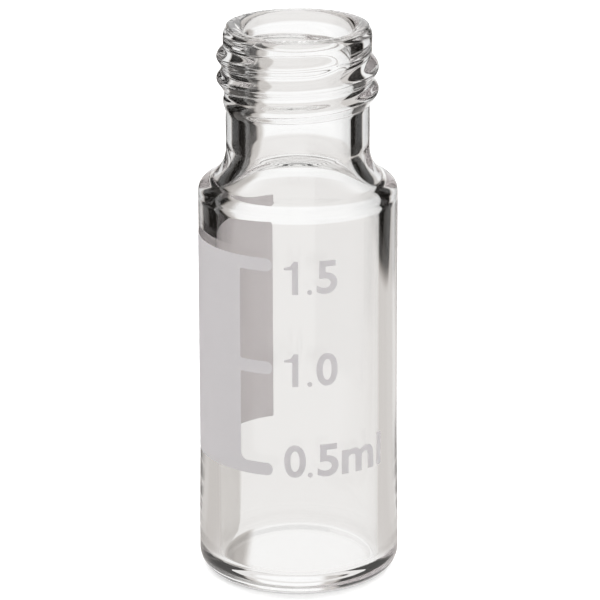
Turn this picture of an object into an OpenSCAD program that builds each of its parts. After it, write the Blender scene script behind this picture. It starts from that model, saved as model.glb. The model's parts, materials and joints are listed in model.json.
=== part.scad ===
// Glass sample vial with a screw-thread neck and a printed volume scale.
// The vial is one hot-formed piece of tube glass. The scale is white enamel fired onto its outside.
// Origin: centre of the ring it stands on. +Z is up, and the numbers of the scale face -Y.

/* [Body] */
// Overall height, from the foot to the top of the lip
height = 32.4; // [26:0.1:46]
// Outer diameter of the straight part of the body
body_d = 11.4; // [9.5:0.1:15]
// Thickness of the body's wall
wall = 1.05; // [0.85:0.05:1.3]

/* [Foot] */
// Thickness of the floor where it meets the wall
floor_t = 1.05; // [0.8:0.05:2]
// Radius that rounds the outside of the heel
heel_round = 1.2; // [0.8:0.05:1.6]
// How far the heel stands out from the straight body
heel_flare = 0.08; // [0.02:0.01:0.15]
// Height at which the heel starts to draw in
flare_start = 3.2; // [1.8:0.1:3.8]
// Height at which the heel has met the straight body
flare_end = 5.8; // [4.2:0.1:6.5]
// Width of the flat ring that the vial stands on
foot_ring = 0.6; // [0.4:0.05:1]
// Height of the dish under the floor
push_up = 0.35; // [0.1:0.05:0.6]
// How far the middle of the floor rises inside
floor_rise = 0.15; // [0.05:0.05:0.4]
// Radius in the corner between the floor and the wall
floor_round = 0.6; // [0.3:0.05:1]

/* [Shoulder] */
// Radius that rounds the outside of the shoulder
shoulder_round = 0.8; // [0.5:0.05:1.2]
// Radius that blends the shoulder into the neck, outside
neck_blend = 1.97; // [1.2:0.01:2.4]
// Radius inside the shoulder
inner_shoulder_round = 0.5; // [0.3:0.05:0.9]

/* [Neck and lip] */
// Height of the straight neck, from the shoulder's blend to the top of the lip
finish_h = 7.1; // [6:0.05:8.5]
// Outer diameter of the neck, at the root of the thread
neck_d = 8.2; // [7.8:0.05:8.8]
// Diameter of the bore through the neck
bore_d = 6; // [5.2:0.05:6.4]
// How far the lip stands out from the neck, on each side
lip_step = 0.11; // [0.03:0.01:0.3]
// Height of the lip
lip_h = 1.4; // [0.9:0.05:1.8]
// Radius that rounds the outside of the lip
lip_round = 0.85; // [0.4:0.05:1]
// Radius that rounds the inside of the lip
mouth_round = 0.35; // [0.2:0.05:0.4]

/* [Thread] */
// How far the crest of the thread stands out from the neck
thread_h = 0.5; // [0.4:0.05:0.7]
// Rise of the thread for each turn
thread_pitch = 1.27; // [1.1:0.01:1.5]
// Width of the ridge at its root
thread_w = 0.95; // [0.7:0.05:1.05]
// Number of turns, with the ends that fade into the neck
thread_turns = 2.5; // [1.5:0.1:2.6]
// Depth of the upper end's centre line under the top of the lip
thread_top = 1.2; // [1:0.05:2]
// Direction of the upper end around the neck, in degrees from +X
thread_start = 315; // [0:5:355]

/* [Printed scale] */
// Height of the lowest edge of the print
scale_bottom = 7.45; // [6.6:0.05:9]
// Height from one volume mark to the next
mark_pitch = 6.08; // [4:0.02:6.2]
// Height of a volume mark
mark_h = 0.75; // [0.3:0.05:0.9]
// Length of a volume mark, around the body
mark_len = 2; // [1:0.1:2.4]
// Radius in the corner over the lowest mark
mark_fillet = 0.45; // [0.2:0.05:0.6]
// Angle around the body that the writing patch covers
patch_turn = 127; // [60:1:180]
// Angle from the front to the near edge of the writing patch
patch_edge = 35; // [32:1:60]
// Height from one number to the next
number_pitch = 5.45; // [3:0.05:6.2]
// Height of a number
digit_h = 1.95; // [1.4:0.05:2.4]
// Width of a number
digit_w = 1.22; // [0.9:0.02:1.3]
// Width of the strokes of the numbers
stroke = 0.35; // [0.2:0.01:0.38]
// Thickness of the print
print_t = 0.04; // [0.02:0.01:0.1]

/* [Hidden] */
$fn = 96;
// Straight pieces in each rounded corner of the outline, and in a shallow curve
arc_steps = 10;
dish_steps = 6;
// Steps of the thread in a turn, and of its half-round section
thread_steps = 40;
section_steps = 8;
// How far the thread's root reaches into the neck, and how far its ends dive under the surface
thread_root = 0.15;
thread_dive = 0.1;
// Turns over which the lower and upper ends of the thread fade out
lower_fade = 0.35;
upper_fade = 0.1;
// How far the drawn marks reach under the patch's edge, to join it
mark_lap = 0.3;
// How far the patch stands past the outer marks, over and under them
patch_margin = 0.03;
// The curve in the corner over the lowest mark crosses the patch's edge this far before it is level
fillet_shift = 0.06;
// Clearance of a cutter past the surface that it cuts
cut = 1;

body_r = body_d / 2;
heel_r = body_r + heel_flare;
hollow_r = body_r - wall;
foot_r = heel_r - heel_round;
neck_r = neck_d / 2;
bore_r = bore_d / 2;
lip_r = neck_r + lip_step;
neck_z = height - finish_h;
lip_z = height - lip_h;
// The rounds of the lip share its wall and never pass each other
lip_wall = lip_r - bore_r;
lip_out = min(lip_round, lip_wall - mouth_round);

// A shoulder is a round of radius a at the body, then a blend of radius b into the neck.
// shoulder_turn is the angle that both turn through. On a wide body they turn 90 degrees,
// with a level stretch between them.
function shoulder_turn(body, neck, a, b) =
    let (run = (neck + b) - (body - a))
    run > 0 ? acos(run / (a + b)) : 90;
function shoulder_rise(body, neck, a, b) = (a + b) * sin(shoulder_turn(body, neck, a, b));

neck_wall = neck_r - bore_r;
inner_blend = neck_blend + neck_wall;
shoulder_z = neck_z - shoulder_rise(body_r, neck_r, shoulder_round, neck_blend);
inner_shoulder_z = neck_z - shoulder_rise(hollow_r, bore_r, inner_shoulder_round, inner_blend);

// Points on an arc about [r, z], from one angle to another
function arc(r, z, radius, from, to, steps) =
    [for (i = [0 : steps]) let (a = from + (to - from) * i / steps)
        [r + radius * cos(a), z + radius * sin(a)]];

// Points on a shallow dome of height rise at the axis and none at radius edge, axis first
function dome(edge, z, rise) =
    let (radius = (edge * edge + rise * rise) / (2 * rise))
    [for (i = [0 : dish_steps]) let (r = edge * i / dish_steps)
        [r, z + rise - radius + sqrt(radius * radius - r * r)]];

// The shoulder's outline, from the straight body up to the neck
function shoulder(body, neck, z, a, b) =
    let (turn = shoulder_turn(body, neck, a, b), rise = shoulder_rise(body, neck, a, b))
    concat(
        arc(body - a, z, a, 0, turn, arc_steps),
        arc(neck + b, z + rise, b, 180 + turn, 180, arc_steps));

function reverse(points) = [for (i = [len(points) - 1 : -1 : 0]) points[i]];

// Outline of the outside, from the axis under the floor up to the top of the lip. The lip
// grows out of the neck over a cone as high as it is wide.
function outside() = concat(
    dome(foot_r - foot_ring, 0, push_up),
    arc(foot_r, heel_round, heel_round, -90, 0, arc_steps),
    [[heel_r, flare_start], [body_r, flare_end]],
    shoulder(body_r, neck_r, shoulder_z, shoulder_round, neck_blend),
    [[neck_r, lip_z - lip_step], [lip_r, lip_z]],
    arc(lip_r - lip_out, height - lip_out, lip_out, 0, 90, arc_steps));

// Outline of the inside, from the axis over the floor up to the top of the lip
function inside() = concat(
    dome(hollow_r - floor_round, floor_t, floor_rise),
    arc(hollow_r - floor_round, floor_t + floor_round, floor_round, -90, 0, arc_steps),
    shoulder(hollow_r, bore_r, inner_shoulder_z, inner_shoulder_round, inner_blend),
    arc(bore_r + mouth_round, height - mouth_round, mouth_round, 180, 90, arc_steps));

module glass_wall() {
    rotate_extrude()
        polygon(concat(outside(), reverse(inside())));
}

function ease(x) = let (u = max(0, min(1, x))) u * u * (3 - 2 * u);

// How far the ridge stands out of the neck, at a number of turns up from its lower end
function ridge_lift(turn) =
    let (share = min(ease(turn / lower_fade), ease((thread_turns - turn) / upper_fade)))
    thread_h * share - thread_dive * (1 - share);

// One half-round section of the ridge, its flat side inside the glass
function ridge_section(turn) =
    let (angle = thread_start - 360 * (thread_turns - turn),
         z = height - thread_top - thread_pitch * (thread_turns - turn),
         root = neck_r - thread_root,
         lift = ridge_lift(turn) + thread_root)
    [for (k = [0 : section_steps])
        let (a = 180 * k / section_steps, r = root + lift * sin(a))
        [r * cos(angle), r * sin(angle), z - thread_w / 2 * cos(a)]];

// One right-hand ridge, rising to the lip as it turns
module thread() {
    sections = round(thread_turns * thread_steps);
    ring = section_steps + 1;
    points = [for (i = [0 : sections]) each ridge_section(thread_turns * i / sections)];
    sides = [for (i = [0 : sections - 1]) for (k = [0 : ring - 1])
        let (next = (k + 1) % ring, here = i * ring, there = here + ring)
        each [[here + k, here + next, there + next], [here + k, there + next, there + k]]];
    first = [for (k = [ring - 1 : -1 : 0]) k];
    last = [for (k = [0 : ring - 1]) sections * ring + k];
    polyhedron(points = points, faces = concat(sides, [first, last]));
}

module vial_body() {
    color([0.86, 0.92, 0.94, 0.45]) {
        glass_wall();
        thread();
    }
}

// The thin skin on the straight body that all of the print lies in
module print_skin() {
    difference() {
        cylinder(r = body_r + print_t, h = height);
        translate([0, 0, -cut])
            cylinder(r = body_r, h = height + 2 * cut);
    }
}

// Stands a flat drawing in front of the skin: its x runs around the body from the front,
// its y runs up, and it is deep enough to pass through the skin
module on_body(x) {
    rotate([0, 0, x / body_r * 180 / PI])
        translate([0, cut - body_r, 0])
            rotate([90, 0, 0])
                linear_extrude(height = 2 * cut)
                    children();
}

// A tall ring with round ends
module oval(w, h) {
    translate([w / 2, w / 2])
        circle(d = w);
    translate([w / 2, h - w / 2])
        circle(d = w);
    translate([0, w / 2])
        square([w, h - w]);
}

module zero() {
    difference() {
        oval(digit_w, digit_h);
        translate([stroke, stroke])
            oval(digit_w - 2 * stroke, digit_h - 2 * stroke);
    }
}

// A stem with a small flag at its left
module one() {
    one_w = 0.66 * digit_w;
    stem = one_w - stroke;
    flag_low = 0.74 * digit_h;
    flag_high = 0.86 * digit_h;
    slope = 0.1;
    polygon([
        [stem, 0], [one_w, 0], [one_w, digit_h], [stem + slope, digit_h],
        [stem - slope, flag_high], [0, flag_high - slope], [0, flag_low], [stem, flag_low]]);
}

module five() {
    bowl = digit_w / 2;
    stem_x = 0.12;
    bar_z = digit_h - stroke;
    joint_z = bowl + 0.25;
    difference() {
        translate([bowl, bowl])
            circle(r = bowl);
        translate([bowl, bowl])
            circle(r = bowl - stroke);
        // the bowl is open on its left, between the foot of the stem and the tail
        translate([-cut, bowl - stroke / 2])
            square([cut + bowl / 2, bowl - stroke / 2]);
    }
    translate([stem_x, bar_z])
        square([digit_w - stem_x, stroke]);
    polygon([
        [0, joint_z], [stroke, joint_z], [stem_x + stroke, bar_z + stroke / 2],
        [stem_x, bar_z + stroke / 2]]);
}

module point() {
    dot = 0.28;
    square(dot);
}

// One of the two arches of the small m, its stem at the right
module arch(w, h) {
    intersection() {
        difference() {
            translate([w / 2, h - w / 2])
                circle(d = w);
            translate([w / 2, h - w / 2])
                circle(d = w - 2 * stroke);
        }
        translate([0, h - w / 2])
            square([w, w / 2]);
    }
    translate([w - stroke, 0])
        square([stroke, h - w / 2]);
}

module letter_m() {
    x_height = 0.74 * digit_h;
    arch_w = 1.06 * digit_w;
    square([stroke, x_height]);
    arch(arch_w, x_height);
    translate([arch_w - stroke, 0])
        arch(arch_w, x_height);
}

module letter_l() {
    square([stroke, digit_h]);
}

// The numbers start at these places around the body, from the front
first_x = -0.82;
dot_x = 0.52;
second_x = 1.06;
m_x = 2.54;
l_x = 5.12;

module number(row) {
    base = scale_bottom + number_pitch * row;
    on_body(first_x + digit_w / 2)
        translate([-digit_w / 2, base]) {
            if (row == 0) zero();
            if (row > 0) one();
        }
    on_body(dot_x)
        translate([0, base])
            point();
    on_body(second_x + digit_w / 2)
        translate([-digit_w / 2, base]) {
            if (row == 1) zero();
            if (row != 1) five();
        }
}

module unit() {
    letter_w = 2.12 * digit_w - stroke;
    on_body(m_x + letter_w / 2)
        translate([-letter_w / 2, scale_bottom])
            letter_m();
    on_body(l_x + stroke / 2)
        translate([-stroke / 2, scale_bottom])
            letter_l();
}

// The volume marks reach out of the writing patch towards the numbers
module mark(row) {
    z = scale_bottom + mark_pitch * row;
    x = -patch_edge / 180 * PI * body_r;
    on_body(x + mark_len / 2)
        translate([-mark_len / 2, z]) {
            translate([-mark_lap, 0])
                square([mark_len + mark_lap - mark_h / 2, mark_h]);
            translate([mark_len - mark_h / 2, mark_h / 2])
                circle(d = mark_h);
            if (row == 0) difference() {
                translate([-mark_lap, mark_h / 2])
                    square([mark_lap + mark_fillet - fillet_shift, mark_h / 2 + mark_fillet]);
                translate([mark_fillet - fillet_shift, mark_h + mark_fillet])
                    circle(r = mark_fillet);
            }
        }
}

// A wedge from the axis outwards, as high as the three marks, that cuts the patch out of the skin
module writing_patch() {
    front = 270;
    corners = 8;
    reach = 1.2 * body_r;
    translate([0, 0, scale_bottom - patch_margin])
        linear_extrude(height = 2 * mark_pitch + mark_h + 2 * patch_margin)
            polygon(concat([[0, 0]], arc(
                0, 0, reach, front - patch_edge - patch_turn, front - patch_edge, corners)));
}

module printed_scale() {
    color([0.8, 0.8, 0.82])
        intersection() {
            print_skin();
            union() {
                writing_patch();
                for (row = [0 : 2]) {
                    mark(row);
                    number(row);
                }
                unit();
            }
        }
}

vial_body();
printed_scale();
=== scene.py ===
"""A small glass sample vial: clear body with a screw-thread neck, and a scale of fired white enamel."""

import json
import math

import bmesh
import bpy
from mathutils import Matrix, Vector, noise


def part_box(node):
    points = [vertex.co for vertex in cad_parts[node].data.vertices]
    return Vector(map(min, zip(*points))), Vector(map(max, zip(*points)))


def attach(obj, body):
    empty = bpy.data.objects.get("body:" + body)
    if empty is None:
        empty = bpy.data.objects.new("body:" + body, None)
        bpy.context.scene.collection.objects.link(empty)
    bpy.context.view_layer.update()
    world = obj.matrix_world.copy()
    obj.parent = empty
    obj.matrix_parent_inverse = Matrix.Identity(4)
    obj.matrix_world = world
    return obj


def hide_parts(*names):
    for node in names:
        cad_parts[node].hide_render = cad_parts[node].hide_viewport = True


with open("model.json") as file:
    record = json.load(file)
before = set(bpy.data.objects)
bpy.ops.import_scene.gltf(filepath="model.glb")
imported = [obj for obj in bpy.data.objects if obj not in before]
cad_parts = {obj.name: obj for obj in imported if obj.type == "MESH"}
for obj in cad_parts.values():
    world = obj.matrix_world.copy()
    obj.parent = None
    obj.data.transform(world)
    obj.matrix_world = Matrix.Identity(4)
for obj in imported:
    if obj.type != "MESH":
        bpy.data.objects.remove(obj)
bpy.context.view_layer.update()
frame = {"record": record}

MM = 0.001

# ---------------------------------------------------------------- sizes, in millimetres

_, top_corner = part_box("vial_body")
HEIGHT = top_corner[2] / MM
HEEL_R = top_corner[0] / MM
MOUTH = next(m for m in frame["record"]["mounts"] if m["name"] == "mouth")
BORE_R = MOUTH["dims"]["r_mm"]

# The wall. The body widens a little at the heel, and the rim is a little wider than the neck.
HEEL_FLARE = 0.08
BODY_R = HEEL_R - HEEL_FLARE
WALL = 1.05
HOLLOW_R = BODY_R - WALL
NECK_R = 4.1
FINISH_H = 7.1
NECK_Z = HEIGHT - FINISH_H
LIP_R = NECK_R + 0.13
LIP_H = 1.4
LIP_STEP = 0.14
LIP_Z = HEIGHT - LIP_H
MOUTH_ROUND = 0.7
LIP_ROUND = LIP_R - BORE_R - MOUTH_ROUND

# The floor and the foot
FLOOR_T = 1.05
FLOOR_RISE = 0.07
FLOOR_ROUND = 0.5
HEEL_ROUND = 1.2
FLARE_START = 2.2
FLARE_END = 9.5
FOOT_RING = 0.25
PUSH_UP = 0.08

# The shoulder. Inside, its blend ends a little lower on the neck than it does outside.
SHOULDER_ROUND = 0.8
NECK_BLEND = 1.97
INNER_SHOULDER_ROUND = 0.9
INNER_BLEND = 2.7
INNER_TOP = -0.15

# The thread: the height of its ridge, half the ridge's width, how softly it leaves the neck,
# the crest's depth under the rim at its start, that start's angle, and the laps its ends fade over
THREAD_H = 0.5
THREAD_PITCH = 1.27
THREAD_HALF = 0.97
THREAD_TURNS = 2.5
THREAD_SOFT = 0.1
THREAD_TOP = 1.25
THREAD_START = 315
LOWER_FADE = 0.35
UPPER_FADE = 0.1
THREAD_LOW = HEIGHT - THREAD_TOP - THREAD_PITCH * THREAD_TURNS - THREAD_HALF

# Slow waves that hot forming leaves: their width, how much longer they run up the vial, their
# depths, where the finer waves inside the neck begin and how far they take to grow, the height
# by which the inside's waves reach their depth, and what makes each set its own
WAVE_WIDTH, NECK_WAVE_WIDTH = 4, 1.6
WAVE_STRETCH = 3
OUTER_WAVE, INNER_WAVE, NECK_WAVE = 0.006, 0.012, 0.003
NECK_WAVE_START, NECK_WAVE_GROWS = NECK_Z - 1, 3
FLOOR_CALM = 4
OUTER_SEED, INNER_SEED, NECK_SEED = 3, 11, 23

# How finely the glass is divided: steps around it and along its curves, the height of its rows,
# how near a round a row keeps the straight wall's shading, and the middle part of the floor,
# which stays as it is
AROUND = 192
DISH_STEPS, FLOOR_STEPS = 14, 14
HEEL_STEPS, FLARE_STEPS = 18, 8
SHOULDER_STEPS = 20
LEDGE_STEPS, LIP_STEPS, MOUTH_STEPS = 4, 18, 10
THREAD_ROW = 0.05
NECK_ROW = 0.3
BORE_ROW = 0.2
FOOT_ROW = 0.5
BODY_ROW = 0.7
HOLD = 0.06
STILL_R = 0.5

# The print. Its patch starts PATCH_EDGE degrees left of the front and goes PATCH_TURN degrees
# round the left to the back. It stands PRINT_T out of the glass and reaches PRINT_BITE into it,
# and is bent in strips PRINT_STEP wide. NEAR is how close to a place a corner counts as there.
SCALE_BOTTOM = 7.45
MARK_COUNT = 3
MARK_PITCH = 6.08
MARK_H = 0.75
MARK_LEN = 2.0
MARK_ROUND = MARK_H / 2 - 0.02
MARK_FILLET = 0.45
INNER_FILLET = 0.12
PATCH_ROUND = 0.1
PATCH_TURN = 127
PATCH_EDGE = 35
NUMBER_DROP = 0.05
NUMBER_PITCH = 5.45
DIGIT_H = 1.95
STROKE = 0.35
FLAG_SLOPE = 0.1
FLAG_LOW, FLAG_HIGH = 0.74, 0.86
STROKE_GAIN = 0.022
PRINT_T = 0.018
PRINT_BITE = 0.01
PRINT_STEP = 0.1
NEAR = 0.01

# Each character with its place around the body from the front, its width, and its share of DIGIT_H
NUMBERS = [
    [("0", -0.83, 1.25, 1), (".", 0.52, 0.28, 0.15), ("5", 1.08, 1.25, 1),
     ("m", 2.54, 2.25, 0.75), ("l", 5.12, 0.36, 1)],
    [("1", -0.81, 0.81, 1), (".", 0.50, 0.28, 0.15), ("0", 1.02, 1.25, 1)],
    [("1", -0.81, 0.81, 1), (".", 0.50, 0.28, 0.15), ("5", 1.04, 1.2, 1)],
]

# ---------------------------------------------------------------- studio and finish, in metres

# The point at the back of the vial, on either side, from which the grey cards' directions count
LEAVES_X, LEAVES_Y = 0.0044, 0.004
# Turns from straight behind the vial over which the grey cards and the room in front begin
GREY_LEFT = (math.radians(8), math.radians(12))
GREY_RIGHT = (math.radians(16), math.radians(20))
FRONT_START = (math.radians(75), math.radians(115))
# A place is black card when its distance back, with CARDS_SLANT of its distance sideways added,
# is over CARDS_START, and its distance sideways is over the share CARDS_EDGE of its distance
# back, which counts as CARDS_STAND where it is less. LEFT_WIDER and LEFT_NEARER bring the left
# card further in and forward.
CARDS_START = (0.066, 0.075)
CARDS_SLANT = 0.7
CARDS_STAND = 0.075
CARDS_EDGE = (0.40, 0.48)
LEFT_WIDER, LEFT_NEARER = 0.14, 0.020
# The white screen's start, and the height of a direction at which the white ceiling begins
SCREEN_START = (0.070, 0.092)
SKY_RISE = (0.45, 0.85)
SCREEN_WHITE, FRONT_WHITE, TABLE_WHITE = 1.0, 0.9, 0.84
RIGHT_GREY, LEFT_GREY, CARD_BLACK = 0.63, 0.57, 0.01
# The tint that the studio's greys take, more the darker they are
WHITE, STUDIO_WARM = (1, 1, 1, 1), (1, 0.89, 0.8, 1)
# The room in front of the vial, as its glass mirrors it
ROOM_SHOWN = 0.45
# The table under the vial, as the glass shows it, with painted shade on its left: its reach, where that
# painted shade ends on the left, and its two levels, the painted shade's grey and the lighter level on
# the right
UNDER = (0.0050, 0.0044)
UNDER_SHADE = (-0.0033, -0.0027)
UNDER_PAINTED_SHADE, UNDER_WHITE = 0.42, 0.92
# The room's light on the print, from the front and from behind, where it turns from one to the
# other, and the floor's own light
ROOM_TURN = (-0.3, 0.3)
ROOM_FRONT, ROOM_BACK = 0.4, 2.55
FLOOR_GLOW = 0.4
# The enamel: its darker and lighter colours, the warmer colour that light takes on its way through
# it and that light's share, the sizes of its clouding and its pits, and the clouding's share
ENAMEL_DARK, ENAMEL_LIGHT = (0.88, 0.875, 0.895, 1), (0.95, 0.945, 0.965, 1)
ENAMEL_WARM, ENAMEL_THROUGH = (0.915, 0.878, 0.874, 1), 0.65
CLOUD_SCALE, GRAIN_SCALE = 350, 9000
CLOUD_SHARE = 0.6
# The camera's height as an angle, how far it leans, its distance, what it looks at, and its lens
# and film width in millimetres
CAMERA_RISE, CAMERA_LEAN = math.radians(17.96), math.radians(0.142)
CAMERA_DISTANCE = 0.230
CAMERA_TARGET = (0.0001, 0, 0.01616)
CAMERA_LENS, CAMERA_SENSOR = 240.2, 36
# The places of the sockets on Blender's colour mixer: the share, two colours, and the result
MIX_SHARE, MIX_FIRST, MIX_SECOND, MIX_RESULT = 0, 6, 7, 2


# ---------------------------------------------------------------- outline of the glass


def arc(r, z, radius, start, end, steps):
    """Points on an arc about (r, z), from one angle to another."""
    angles = [math.radians(start + (end - start) * i / steps) for i in range(steps + 1)]
    return [(r + radius * math.cos(a), z + radius * math.sin(a)) for a in angles]


def dome(edge, z, rise, steps):
    """A shallow dome of height rise at the axis, from the axis out to radius edge."""
    radius = (edge * edge + rise * rise) / (2 * rise)
    spots = [edge * i / steps for i in range(steps + 1)]
    return [(r, z + rise - radius + math.sqrt(radius * radius - r * r)) for r in spots]


def rise_to(start, end, step):
    """Rows on a straight stretch, with one close to each end to keep the corners' shading there."""
    (r0, z0), (r1, z1) = start, end
    count = max(2, round(abs(z1 - z0) / step))
    hold = min(HOLD / abs(z1 - z0), 0.5 / count)
    shares = [hold] + [i / count for i in range(1, count)] + [1 - hold]
    return [(r0 + (r1 - r0) * t, z0 + (z1 - z0) * t) for t in shares]


def s_curve(start, end, steps):
    """Points from one place on the outline to another, upright at both ends."""
    (r0, z0), (r1, z1) = start, end
    shares = [i / steps for i in range(steps + 1)]
    return [(r0 + (r1 - r0) * (1 - math.cos(math.pi * t)) / 2, z0 + (z1 - z0) * t) for t in shares]


def shoulder(body, neck, top, a, b):
    """A round of radius a at the body and a blend of radius b that ends on the neck at height top."""
    turn = math.degrees(math.acos((neck + b - body + a) / (a + b)))
    z = top - (a + b) * math.sin(math.radians(turn))
    round_out = arc(body - a, z, a, 0, turn, SHOULDER_STEPS)
    return round_out + arc(neck + b, top, b, 180 + turn, 180, SHOULDER_STEPS)


def outside():
    """From the middle of the foot up to the top of the rim."""
    foot_r = HEEL_R - HEEL_ROUND
    bend = shoulder(BODY_R, NECK_R, NECK_Z, SHOULDER_ROUND, NECK_BLEND)
    line = dome(foot_r - FOOT_RING, 0, PUSH_UP, DISH_STEPS)
    line += arc(foot_r, HEEL_ROUND, HEEL_ROUND, -90, 0, HEEL_STEPS)
    line += rise_to((HEEL_R, HEEL_ROUND), (HEEL_R, FLARE_START), FOOT_ROW)
    line += s_curve((HEEL_R, FLARE_START), (BODY_R, FLARE_END), FLARE_STEPS)
    line += rise_to((BODY_R, FLARE_END), bend[0], BODY_ROW)
    line += bend
    line += rise_to(bend[-1], (NECK_R, THREAD_LOW), NECK_ROW)
    line += rise_to((NECK_R, THREAD_LOW), (NECK_R, LIP_Z - LIP_STEP), THREAD_ROW)
    line += s_curve((NECK_R, LIP_Z - LIP_STEP), (LIP_R, LIP_Z), LEDGE_STEPS)
    line += rise_to((LIP_R, LIP_Z), (LIP_R, HEIGHT - LIP_ROUND), THREAD_ROW)
    return line + arc(LIP_R - LIP_ROUND, HEIGHT - LIP_ROUND, LIP_ROUND, 0, 90, LIP_STEPS)


def inside():
    """From the middle of the floor up to the top of the mouth."""
    bend = shoulder(HOLLOW_R, BORE_R, NECK_Z + INNER_TOP, INNER_SHOULDER_ROUND, INNER_BLEND)
    line = dome(HOLLOW_R - FLOOR_ROUND, FLOOR_T, FLOOR_RISE, FLOOR_STEPS)
    line += arc(HOLLOW_R - FLOOR_ROUND, FLOOR_T + FLOOR_ROUND, FLOOR_ROUND, -90, 0, FLOOR_STEPS)
    line += rise_to((HOLLOW_R, FLOOR_T + FLOOR_ROUND), bend[0], BODY_ROW)
    line += bend
    line += rise_to(bend[-1], (BORE_R, HEIGHT - MOUTH_ROUND), BORE_ROW)
    return line + arc(BORE_R + MOUTH_ROUND, HEIGHT - MOUTH_ROUND, MOUTH_ROUND, 180, 90, MOUTH_STEPS)


# ---------------------------------------------------------------- shaping the glass


def ease(x):
    """Goes smoothly from 0 at 0 to 1 at 1."""
    u = min(1, max(0, x))
    return u * u * (3 - 2 * u)


def swell(lift, soft):
    """A lift that starts gently instead of at a corner."""
    if lift < soft:
        return max(lift, 0) ** 2 / (2 * soft)
    return lift - soft / 2


def ridge(angle, z):
    """How far the thread stands out of the neck at an angle in degrees and a height."""
    total = 0
    for lap in range(math.ceil(THREAD_TURNS)):
        turns_down = ((THREAD_START - angle) % 360) / 360 + lap
        share = min(ease((THREAD_TURNS - turns_down) / LOWER_FADE), ease(turns_down / UPPER_FADE))
        across = min(1, abs(z - HEIGHT + THREAD_TOP + THREAD_PITCH * turns_down) / THREAD_HALF)
        total += (THREAD_H + THREAD_SOFT / 2) * share * math.cos(across * math.pi / 2) ** 2
    return total


def ripple(point, size, depth, seed):
    """A slow random wave over the glass, as hot forming leaves it."""
    return depth * noise.noise(Vector(point) / size + Vector((seed, 0, 0)))


def shape_outside(vert):
    """Raises the thread out of the neck, and adds the waves of the outside."""
    x, y, z = vert.co
    r = math.hypot(x, y)
    if r < STILL_R or z < HEEL_ROUND:
        return
    new_r = r
    if z > THREAD_LOW:
        new_r += swell(NECK_R + ridge(math.degrees(math.atan2(y, x)) % 360, z) - r, THREAD_SOFT)
    new_r += ripple((x, y, z / WAVE_STRETCH), WAVE_WIDTH, OUTER_WAVE, OUTER_SEED) * ease(HEIGHT - z)
    vert.co.xy = vert.co.xy * (new_r / r)


def shape_inside(vert):
    """Adds the waves of the inside, which calm down towards the floor and the rim."""
    x, y, z = vert.co
    r = math.hypot(x, y)
    if r < STILL_R:
        return
    wave = ripple((x, y, z / WAVE_STRETCH), WAVE_WIDTH, INNER_WAVE, INNER_SEED) * ease(z / FLOOR_CALM)
    fine = ripple((x, y, z), NECK_WAVE_WIDTH, NECK_WAVE, NECK_SEED)
    fine *= ease((z - NECK_WAVE_START) / NECK_WAVE_GROWS)
    new_r = r + (wave + fine) * ease(HEIGHT - z)
    vert.co.xy = vert.co.xy * (new_r / r)


def join(target, other):
    """Adds one bmesh's faces to another, by way of a mesh."""
    mesh = bpy.data.meshes.new("joined")
    other.to_mesh(mesh)
    target.from_mesh(mesh)
    other.free()
    bpy.data.meshes.remove(mesh)


def finished(name, bm, material, smooth=True):
    """A piece with its mesh in metres and its object at the origin."""
    bmesh.ops.scale(bm, vec=(MM, MM, MM), verts=bm.verts)
    mesh = bpy.data.meshes.new(name)
    bm.to_mesh(mesh)
    bm.free()
    mesh.materials.append(material)
    for face in mesh.polygons:
        face.use_smooth = smooth
    piece = bpy.data.objects.new(name, mesh)
    bpy.context.scene.collection.objects.link(piece)
    return piece


def make_glass(material):
    """One closed wall: its outline runs up the outside, over the lip and down the inside."""
    bm = bmesh.new()
    inner = bm.verts.layers.int.new("inner")
    verts = []
    for side, line in enumerate((outside(), inside()[::-1])):
        for r, z in line:
            verts.append(bm.verts.new((0, -r, z)))
            verts[-1][inner] = side
    edges = [bm.edges.new(pair) for pair in zip(verts, verts[1:])]
    bmesh.ops.spin(
        bm, geom=verts + edges, cent=(0, 0, 0), axis=(0, 0, 1), angle=2 * math.pi,
        steps=AROUND, use_merge=True, use_duplicate=False)
    bmesh.ops.remove_doubles(bm, verts=bm.verts, dist=1e-4)
    for vert in bm.verts:
        if vert[inner]:
            shape_inside(vert)
        else:
            shape_outside(vert)
    bmesh.ops.recalc_face_normals(bm, faces=bm.faces)
    return finished("clear_glass", bm, material)


# ---------------------------------------------------------------- the printed scale


def flat_outline(points):
    """One flat face from its corners, x around the body from the front and y up."""
    bm = bmesh.new()
    bm.faces.new([bm.verts.new((x, y, 0)) for x, y in points])
    return bm


def numeral_one(x, width, base, height):
    """A stem with a small flag at its left."""
    stem = width - STROKE
    under, over = FLAG_LOW * height, FLAG_HIGH * height
    points = [(stem, 0), (width, 0), (width, height), (stem + FLAG_SLOPE, height),
              (stem - FLAG_SLOPE, over), (0, over - FLAG_SLOPE), (0, under), (stem, under)]
    return flat_outline([(x + across, base + up) for across, up in points])


def glyph(character, x, width, base, height):
    """A numeral or letter as a flat mesh that fills a box."""
    text = bpy.data.curves.new("glyph", "FONT")
    text.body = character
    text.offset = STROKE_GAIN
    text.resolution_u = 8
    holder = bpy.data.objects.new("glyph", text)
    mesh = bpy.data.meshes.new_from_object(holder)
    bm = bmesh.new()
    bm.from_mesh(mesh)
    bpy.data.objects.remove(holder)
    bpy.data.curves.remove(text)
    bpy.data.meshes.remove(mesh)
    bmesh.ops.remove_doubles(bm, verts=bm.verts, dist=1e-5)
    xs = [v.co.x for v in bm.verts]
    ys = [v.co.y for v in bm.verts]
    wide, tall = max(xs) - min(xs), max(ys) - min(ys)
    for vert in bm.verts:
        vert.co.x = x + (vert.co.x - min(xs)) / wide * width
        vert.co.y = base + (vert.co.y - min(ys)) / tall * height
    return bm


def drawn(character, *place):
    """One character as a flat drawing. The numeral one has a plain shape of its own."""
    return numeral_one(*place) if character == "1" else glyph(character, *place)


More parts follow.
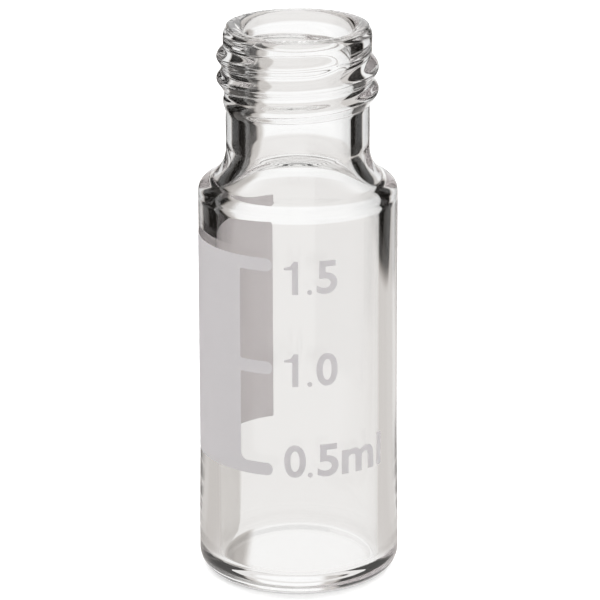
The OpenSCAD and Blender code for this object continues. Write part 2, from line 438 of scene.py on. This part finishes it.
def wrapped(bm):
    """Cuts a flat drawing into narrow strips, gives it its thickness and bends it round the body."""
    xs = [v.co.x for v in bm.verts]
    for i in range(math.floor(min(xs) / PRINT_STEP), math.ceil(max(xs) / PRINT_STEP)):
        bmesh.ops.bisect_plane(
            bm, geom=bm.verts[:] + bm.edges[:] + bm.faces[:], dist=1e-6,
            plane_co=(i * PRINT_STEP, 0, 0), plane_no=(1, 0, 0))
    raised = bmesh.ops.extrude_face_region(bm, geom=bm.faces[:])["geom"]
    outer = [g for g in raised if isinstance(g, bmesh.types.BMVert)]
    bmesh.ops.translate(bm, vec=(0, 0, PRINT_T + PRINT_BITE), verts=outer)
    for vert in bm.verts:
        turn = vert.co.x / BODY_R
        r = BODY_R - PRINT_BITE + vert.co.z
        vert.co = (r * math.sin(turn), -r * math.cos(turn), vert.co.y)
    bmesh.ops.recalc_face_normals(bm, faces=bm.faces)
    return bm


def rounded(bm, radius, chosen):
    """Rounds those corners of a flat drawing that a test of their x and y chooses."""
    corners = [v for v in bm.verts if chosen(v.co.x, v.co.y)]
    bmesh.ops.bevel(
        bm, geom=corners, offset=radius, offset_type="OFFSET", affect="VERTICES", segments=8,
        profile=0.5, material=-1)


def patch_drawing():
    """The writing patch and the three marks that reach out of it, as one outline."""
    edge = -math.radians(PATCH_EDGE) * BODY_R
    back = -math.radians(PATCH_EDGE + PATCH_TURN) * BODY_R
    tip = edge + MARK_LEN
    points = [(back, SCALE_BOTTOM)]
    for row in range(MARK_COUNT):
        z = SCALE_BOTTOM + MARK_PITCH * row
        if row:
            points.append((edge, z))
        points += [(tip, z), (tip, z + MARK_H)]
        if row < MARK_COUNT - 1:
            points.append((edge, z + MARK_H))
    points.append((back, points[-1][1]))
    bm = flat_outline(points)
    lowest_top = SCALE_BOTTOM + MARK_H
    rounded(bm, MARK_ROUND, lambda x, y: x > tip - NEAR)
    rounded(bm, MARK_FILLET, lambda x, y: abs(x - edge) < NEAR and abs(y - lowest_top) < NEAR)
    rounded(bm, INNER_FILLET, lambda x, y: abs(x - edge) < NEAR and y > lowest_top + MARK_H)
    rounded(bm, PATCH_ROUND, lambda x, y: x < back + NEAR)
    return bm


def make_print(material):
    """The patch with its marks, and each line of characters as one piece."""
    pieces = [finished("writing_patch_and_marks", wrapped(patch_drawing()), material, smooth=False)]
    for row, line in enumerate(NUMBERS):
        base = SCALE_BOTTOM - NUMBER_DROP + NUMBER_PITCH * row
        bm = bmesh.new()
        for character, x, width, share in line:
            join(bm, wrapped(drawn(character, x, width, base, DIGIT_H * share)))
        pieces.append(finished(f"number_{row + 1}", bm, material, smooth=False))
    return pieces


# ---------------------------------------------------------------- shader maths


class Amount:
    """A socket that takes part in Python arithmetic."""

    def __init__(self, shader, socket):
        self.shader = shader
        self.socket = socket

    def _math(self, operation, *values):
        return self.shader.add("ShaderNodeMath", {"operation": operation}, dict(enumerate(values)))

    def __add__(self, other):
        return self._math("ADD", self, other)

    def __sub__(self, other):
        return self._math("SUBTRACT", self, other)

    def __rsub__(self, other):
        return self._math("SUBTRACT", other, self)

    def __mul__(self, other):
        return self._math("MULTIPLY", self, other)

    def __truediv__(self, other):
        return self._math("DIVIDE", self, other)

    def __gt__(self, other):
        return self._math("GREATER_THAN", self, other)

    def at_most(self, other):
        return self._math("MINIMUM", self, other)

    def at_least(self, other):
        return self._math("MAXIMUM", self, other)

    def size(self):
        return self._math("ABSOLUTE", self)

    def turn_from(self, other):
        """The angle of the point (other, self), in radians."""
        return self._math("ARCTAN2", self, other)

    def steps_up(self, start, end):
        """Goes smoothly from 0 at start to 1 at end."""
        return self.shader.add("ShaderNodeMapRange", {"interpolation_type": "SMOOTHSTEP"}, {
            "Value": self, "From Min": start, "From Max": end})

    def towards(self, other, share):
        """Part of the way from this value to another."""
        return self * (1 - share) + other * share

    __radd__ = __add__
    __rmul__ = __mul__


class Shader:
    """Builds one node tree."""

    def __init__(self, owner):
        owner.use_nodes = True
        self.tree = owner.node_tree
        self.tree.nodes.clear()

    def add(self, kind, settings=None, feeds=None, output=0):
        """Makes a node, sets it, feeds its sockets, and gives one output where it has any."""
        node = self.tree.nodes.new(kind)
        for name, value in (settings or {}).items():
            setattr(node, name, value)
        for name, value in (feeds or {}).items():
            self.feed(node.inputs[name], value)
        return Amount(self, node.outputs[output]) if node.outputs else None

    def feed(self, socket, value):
        if isinstance(value, Amount):
            self.tree.links.new(value.socket, socket)
        else:
            socket.default_value = value

    def blend(self, share, first, second):
        """The colour that is this share of the way from the first to the second."""
        return self.add("ShaderNodeMix", {"data_type": "RGBA"}, {
            MIX_SHARE: share, MIX_FIRST: first, MIX_SECOND: second}, MIX_RESULT)

    def length(self, vector):
        return self.add("ShaderNodeVectorMath", {"operation": "LENGTH"}, {0: vector}, "Value")

    def parts(self, vector):
        """The x, y and z of a vector."""
        first = self.add("ShaderNodeSeparateXYZ", None, {0: vector})
        return [Amount(self, socket) for socket in first.socket.node.outputs]

    def light_path(self, name):
        return self.add("ShaderNodeLightPath", None, None, name)


def clear_glass():
    material = bpy.data.materials.new("clear_glass")
    shader = Shader(material)
    surface = shader.add("ShaderNodeBsdfPrincipled", None, {
        "Base Color": (0.994, 0.995, 0.993, 1), "Roughness": 0.0, "IOR": 1.5,
        "Transmission Weight": 1.0})
    shader.add("ShaderNodeOutputMaterial", None, {"Surface": surface})
    return material


def fired_enamel():
    """White enamel, thin enough to let light through, a little cloudy and finely pitted."""
    material = bpy.data.materials.new("fired_enamel")
    shader = Shader(material)
    place = shader.add("ShaderNodeTexCoord", None, None, "Object")
    cloud = shader.add("ShaderNodeTexNoise", None, {
        "Vector": place, "Scale": CLOUD_SCALE, "Detail": 3}, "Fac")
    grain = shader.add("ShaderNodeTexNoise", None, {
        "Vector": place, "Scale": GRAIN_SCALE, "Detail": 2}, "Fac")
    colour = shader.blend(grain.towards(cloud, CLOUD_SHARE), ENAMEL_DARK, ENAMEL_LIGHT)
    bump = shader.add("ShaderNodeBump", None, {"Height": grain, "Strength": 0.15, "Distance": 0.00001})
    face = shader.add("ShaderNodeBsdfPrincipled", None, {
        "Base Color": colour, "Roughness": 0.5, "Normal": bump})
    through = shader.add("ShaderNodeBsdfTranslucent", None, {"Color": ENAMEL_WARM, "Normal": bump})
    surface = shader.add("ShaderNodeMixShader", None, {0: ENAMEL_THROUGH, 1: face, 2: through})
    shader.add("ShaderNodeOutputMaterial", None, {"Surface": surface})
    return material


# ---------------------------------------------------------------- studio


def make_camera():
    """A long lens in front of the numbers and a little above them."""
    camera = bpy.data.objects.new("camera", bpy.data.cameras.new("camera"))
    camera.data.lens = CAMERA_LENS
    camera.data.sensor_width = CAMERA_SENSOR
    camera.data.clip_start = 0.01
    away = Vector((0, -math.cos(CAMERA_RISE), math.sin(CAMERA_RISE)))
    place = Vector(CAMERA_TARGET) + away * CAMERA_DISTANCE
    tip_up = Matrix.Rotation(math.pi / 2 - CAMERA_RISE, 4, "X")
    lean = Matrix.Rotation(-CAMERA_LEAN, 4, "Z")
    camera.matrix_world = Matrix.Translation(place) @ tip_up @ lean
    bpy.context.scene.collection.objects.link(camera)
    bpy.context.scene.camera = camera


def studio_white(shader, place, apart, reach, front):
    """How bright the studio is at a place, as glass shows it: a pale table, then a white screen
    straight behind the vial, with a grey card on its left and black cards standing slantwise on
    both sides. On the right, only light that has turned inside the glass finds the cards."""
    x, y, _ = shader.parts(place)
    turned = shader.light_path("Glossy Depth") > 0.5
    back = y - LEAVES_Y * apart
    left = (0 - x - LEAVES_X * apart).turn_from(back)
    right = (x - LEAVES_X * apart).turn_from(back)
    on_left = (0 - x) > 0
    sideways = x.size() / y.at_least(CARDS_STAND) + on_left * LEFT_WIDER
    along = y + x.size() * CARDS_SLANT + on_left * LEFT_NEARER
    black = sideways.steps_up(*CARDS_EDGE) * along.steps_up(*CARDS_START) * turned.at_least(on_left)
    screen = TABLE_WHITE + reach.steps_up(*SCREEN_START) * (SCREEN_WHITE - TABLE_WHITE)
    greyed = screen.towards(LEFT_GREY, left.steps_up(*GREY_LEFT))
    greyed = greyed.towards(RIGHT_GREY, right.steps_up(*GREY_RIGHT) * turned)
    behind = greyed.towards(CARD_BLACK, black)
    in_front = x.turn_from(y).size().steps_up(*FRONT_START)
    return behind.towards(front, in_front)


def through_glass(shader):
    """1 for what is seen in or through the glass, and 0 for the light that falls on the print."""
    clear = (shader.light_path("Is Glossy Ray") + shader.light_path("Is Transmission Ray")).at_most(1)
    return clear * (1 - shader.light_path("Is Diffuse Ray"))


def warm_grey(shader, shown, glassed):
    """The colour of the studio as glass shows it: white where it is bright, warm where it is grey."""
    pale = 1 - (1 - shown) * glassed
    return shader.blend(pale, STUDIO_WARM, WHITE)


def make_world():
    """White to the camera, the studio to the glass, and a lit room to everything else."""
    world = bpy.data.worlds.new("studio")
    bpy.context.scene.world = world
    shader = Shader(world)
    place = shader.add("ShaderNodeTexCoord", None, None, "Generated")
    _, y, up = shader.parts(place)
    shown = studio_white(shader, place, 0, shader.length(place), ROOM_SHOWN)
    shown = shown.towards(FRONT_WHITE, up.steps_up(*SKY_RISE))
    glassed = through_glass(shader)
    room = ROOM_FRONT + y.steps_up(*ROOM_TURN) * (ROOM_BACK - ROOM_FRONT)
    strength = room.towards(shown, glassed).towards(1, shader.light_path("Is Camera Ray"))
    surface = shader.add("ShaderNodeBackground", None, {
        "Color": warm_grey(shader, shown, glassed), "Strength": strength})
    shader.add("ShaderNodeOutputWorld", None, {"Surface": surface})


def white_floor():
    """A white table that keeps the vial's shadow, and shows the studio to the glass, with painted shade
    under the vial's foot on the left.
    """
    material = bpy.data.materials.new("white_floor")
    shader = Shader(material)
    place = shader.add("ShaderNodeTexCoord", None, None, "Object")
    reach = shader.length(place)
    shown = studio_white(shader, place, 1, reach, FRONT_WHITE)
    across = shader.parts(place)[0]
    # Painted shade: under the foot, the table that the glass shows is darker on its left side
    under = UNDER_PAINTED_SHADE + across.steps_up(*UNDER_SHADE) * (UNDER_WHITE - UNDER_PAINTED_SHADE)
    shown = shown.towards(under, reach.steps_up(*UNDER))
    lit = shader.add("ShaderNodeBsdfDiffuse", None, {"Color": (0.8, 0.8, 0.8, 1)})
    glow = shader.add("ShaderNodeEmission", None, {
        "Color": WHITE, "Strength": shader.light_path("Is Camera Ray") * FLOOR_GLOW})
    seen = shader.add("ShaderNodeAddShader", None, {0: lit, 1: glow})
    studio = shader.add("ShaderNodeEmission", None, {
        "Color": warm_grey(shader, shown, 1), "Strength": shown})
    surface = shader.add("ShaderNodeMixShader", None, {0: through_glass(shader), 1: seen, 2: studio})
    shader.add("ShaderNodeOutputMaterial", None, {"Surface": surface})
    return material


def make_floor(material):
    """The table the vial stands on."""
    bm = bmesh.new()
    bmesh.ops.create_grid(bm, x_segments=1, y_segments=1, size=2)
    mesh = bpy.data.meshes.new("floor")
    bm.to_mesh(mesh)
    bm.free()
    mesh.materials.append(material)
    floor = bpy.data.objects.new("floor", mesh)
    bpy.context.scene.collection.objects.link(floor)


def make_lamp(name, place, size, power):
    """A soft lamp that lights the print but isn't mirrored in the glass."""
    lamp = bpy.data.lights.new(name, "AREA")
    lamp.shape = "DISK"
    lamp.size = size
    lamp.energy = power
    holder = bpy.data.objects.new(name, lamp)
    holder.visible_glossy = False
    holder.visible_transmission = False
    aim = Vector((0, 0, HEIGHT / 2 * MM)) - Vector(place)
    holder.matrix_world = Matrix.Translation(place) @ aim.to_track_quat("-Z", "Y").to_matrix().to_4x4()
    bpy.context.scene.collection.objects.link(holder)


def set_light_limits():
    """Light turns many times inside the wall and the thread before it comes out."""
    cycles = bpy.context.scene.cycles
    cycles.glossy_bounces = 12
    cycles.transmission_bounces = 16
    cycles.max_bounces = 20


def main():
    bpy.context.scene.view_settings.view_transform = "Standard"
    set_light_limits()
    make_camera()
    make_world()
    make_floor(white_floor())
    make_lamp("front_softbox", place=(0.06, -0.42, 0.35), size=0.25, power=1.35)
    glass = make_glass(clear_glass())
    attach(glass, "root")
    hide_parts("vial_body")
    enamel = fired_enamel()
    for piece in make_print(enamel):
        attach(piece, "root")
        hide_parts("printed_scale")


main()
